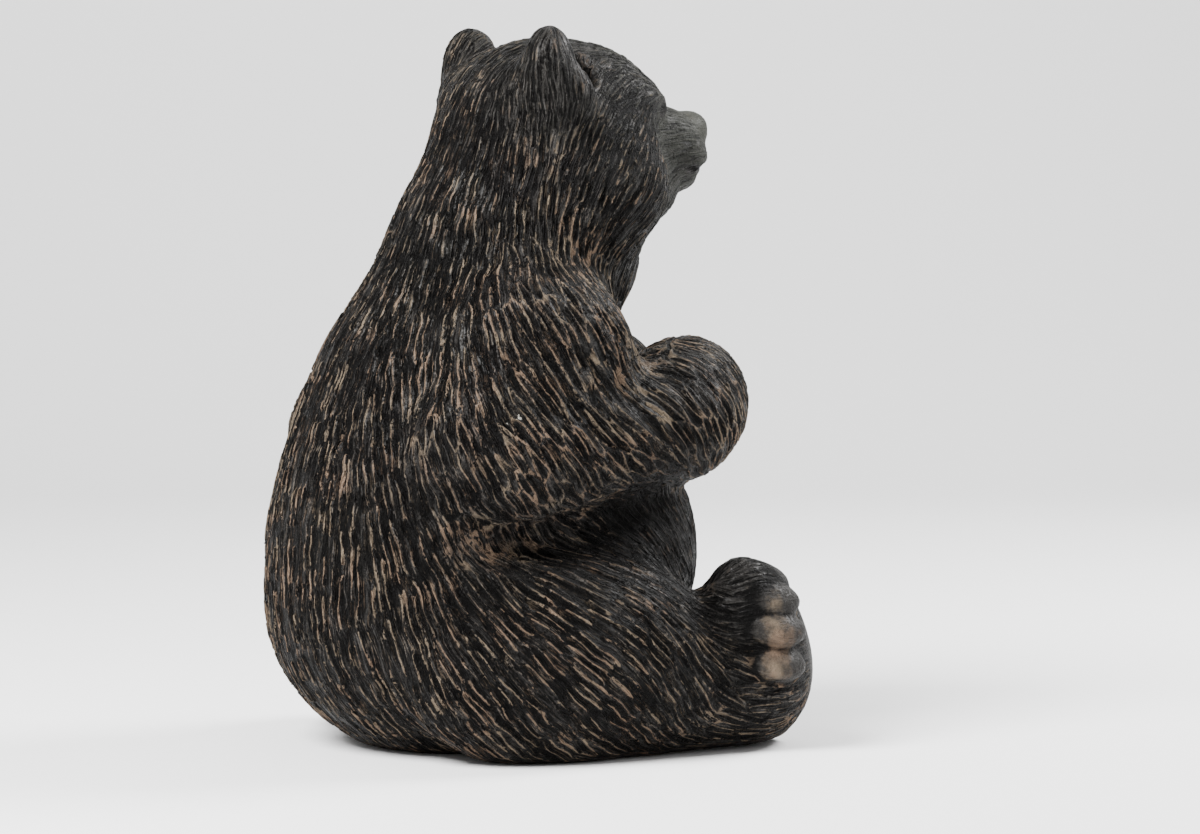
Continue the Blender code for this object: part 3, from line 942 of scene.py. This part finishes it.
PHOTO_WIDTH, PHOTO_HEIGHT = 1200, 834
CUB_PIXELS = 712  # pixels of the picture that the cub's height takes up, midway through it
CUB_PIXEL = (513.5, 740)  # where the middle of the cub's outline meets the ground
SENSOR = 36  # width of the camera's sensor in millimetres
FLOOR_RADIUS = 1.6  # metres from the cub to the sweep that the floor ends in
WALL_HEIGHT = 2.6
SWEEP_RADIUS = 0.7
SWEEP_STEPS = 12
MOTTLE = 0.98  # how light the floor's darker patches are, against the rest of it
LAMP_AIM = (0, 0, 0.2)  # the place in metres that the lamps point at
LAMPS = (  # metres towards the camera, to the picture's right and up, size, and share of the key light
    ("key", (0.9, -0.9, 1.5), 1.0, 1.0),
    ("rim", (-0.6, 1.2, 1.3), 0.8, 0.5),
)


class STATUE_OT_set_stage(bpy.types.Operator):
    """Lays the pale floor and sets the light and the camera"""

    bl_idname = "statue.set_stage"
    bl_label = "Set stage"

    def execute(self, context):
        stage = context.scene.bear_stage
        height = CAD_BOX[1][2] - CAD_BOX[0][2]
        back = Vector((-cos(stage.behind), sin(stage.behind), 0))
        right = Vector((-sin(stage.behind), -cos(stage.behind), 0))
        self.camera(context, stage, height, back, right)
        self.backdrop(stage, back)
        self.lights(context, stage, back, right)
        return {"FINISHED"}

    def camera(self, context, stage, height, back, right):
        aside = (PHOTO_WIDTH / 2 - CUB_PIXEL[0]) / CUB_PIXELS
        raised = (CUB_PIXEL[1] - PHOTO_HEIGHT / 2) / CUB_PIXELS
        target = (right * aside + Vector((0, 0, raised))) * height
        eye = (right * aside + back * stage.distance + Vector((0, 0, stage.eye))) * height
        lens = bpy.data.cameras.new("view")
        lens.sensor_fit = "HORIZONTAL"
        lens.sensor_width = SENSOR
        lens.lens = SENSOR * CUB_PIXELS * (target - eye).length / height / PHOTO_WIDTH
        camera = bpy.data.objects.new("view", lens)
        camera.location = eye
        camera.rotation_euler = (target - eye).to_track_quat("-Z", "Y").to_euler()
        context.scene.collection.objects.link(camera)
        context.scene.camera = camera

    def backdrop(self, stage, back):
        """A floor that sweeps up into a wall, turned so that the wall is behind the cub."""
        sheet = bmesh.new()
        profile = [Vector((0, -3 * FLOOR_RADIUS, 0)), Vector((0, FLOOR_RADIUS, 0))]
        for step in range(1, SWEEP_STEPS + 1):
            turn = radians(90) * step / SWEEP_STEPS
            out, high = SWEEP_RADIUS * sin(turn), SWEEP_RADIUS * (1 - cos(turn))
            profile.append(Vector((0, FLOOR_RADIUS + out, high)))
        profile.append(Vector((0, FLOOR_RADIUS + SWEEP_RADIUS, WALL_HEIGHT)))
        line = [sheet.verts.new(at + Vector((-3 * FLOOR_RADIUS, 0, 0))) for at in profile]
        edges = [sheet.edges.new(pair) for pair in zip(line, line[1:])]
        swept = bmesh.ops.extrude_edge_only(sheet, edges=edges)["geom"]
        moved = [part for part in swept if isinstance(part, bmesh.types.BMVert)]
        bmesh.ops.translate(sheet, verts=moved, vec=(6 * FLOOR_RADIUS, 0, 0))
        turn = Vector((0, 1)).angle_signed(Vector((-back.x, -back.y)))
        bmesh.ops.rotate(sheet, verts=sheet.verts, cent=(0, 0, 0), matrix=Matrix.Rotation(-turn, 3, "Z"))
        bmesh.ops.recalc_face_normals(sheet, faces=sheet.faces)
        mesh = bpy.data.meshes.new("floor")
        sheet.to_mesh(mesh)
        sheet.free()
        mesh.shade_smooth()
        paint = Paint("studio_paper")
        tone = paint.noise(3, 2, 0.5)
        pale = (*stage.floor, 1)
        mottled = paint.mix(tone, pale, tuple(MOTTLE * part for part in pale))
        paint.feed(paint.surface.inputs["Base Color"], mottled)
        paint.surface.inputs["Roughness"].default_value = 0.95
        mesh.materials.append(paint.material)
        floor = bpy.data.objects.new("floor", mesh)
        bpy.context.scene.collection.objects.link(floor)
        floor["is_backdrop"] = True

    def lights(self, context, stage, back, right):
        world = bpy.data.worlds.new("studio")
        world.use_nodes = True
        sky = world.node_tree.nodes["Background"].inputs
        sky["Color"].default_value = (1, 1, 1, 1)
        sky["Strength"].default_value = stage.fill
        context.scene.world = world
        for name, (nearer, aside, raised), size, share in LAMPS:
            at = back * nearer + right * aside + Vector((0, 0, raised))
            lamp = bpy.data.lights.new(name, "AREA")
            lamp.shape = "DISK"
            lamp.size = size
            lamp.energy = stage.key * share
            light = bpy.data.objects.new(name, lamp)
            light.location = at
            light.rotation_euler = (Vector(LAMP_AIM) - at).to_track_quat("-Z", "Y").to_euler()
            context.scene.collection.objects.link(light)


PANEL_BOXES = (
    ("Casting", "bear_cub", None),
    ("Finish", "bear_look", "statue.cast_cub"),
    ("Stage", "bear_stage", "statue.set_stage"),
)


class STATUE_PT_panel(bpy.types.Panel):
    """Sizes, colours and stage of the bear cub"""

    bl_idname = "STATUE_PT_panel"
    bl_label = "Bear cub"
    bl_space_type = "VIEW_3D"
    bl_region_type = "UI"
    bl_category = "Bear cub"

    def draw(self, context):
        for label, group, operator in PANEL_BOXES:
            box = self.layout.box()
            box.label(text=label)
            settings = getattr(context.scene, group)
            for name in settings.__annotations__:
                box.prop(settings, name)
            if operator:
                box.operator(operator)


GROUPS = {"bear_cub": CubSettings, "bear_look": LookSettings, "bear_stage": StageSettings}
CLASSES = (*GROUPS.values(), STATUE_OT_cast_cub, STATUE_OT_set_stage, STATUE_PT_panel)


def register():
    for part in CLASSES:
        bpy.utils.register_class(part)
    for name, group in GROUPS.items():
        setattr(bpy.types.Scene, name, PointerProperty(type=group))


def unregister():
    for name in GROUPS:
        delattr(bpy.types.Scene, name)
    for part in reversed(CLASSES):
        bpy.utils.unregister_class(part)


def main():
    register()
    bpy.ops.statue.cast_cub()
    bpy.ops.statue.set_stage()
    boxes = {"cad": CAD_BOX, "visual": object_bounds()}
    sizes = {name: [list(corner) for corner in box] for name, box in boxes.items()}


if __name__ == "__main__":
    main()
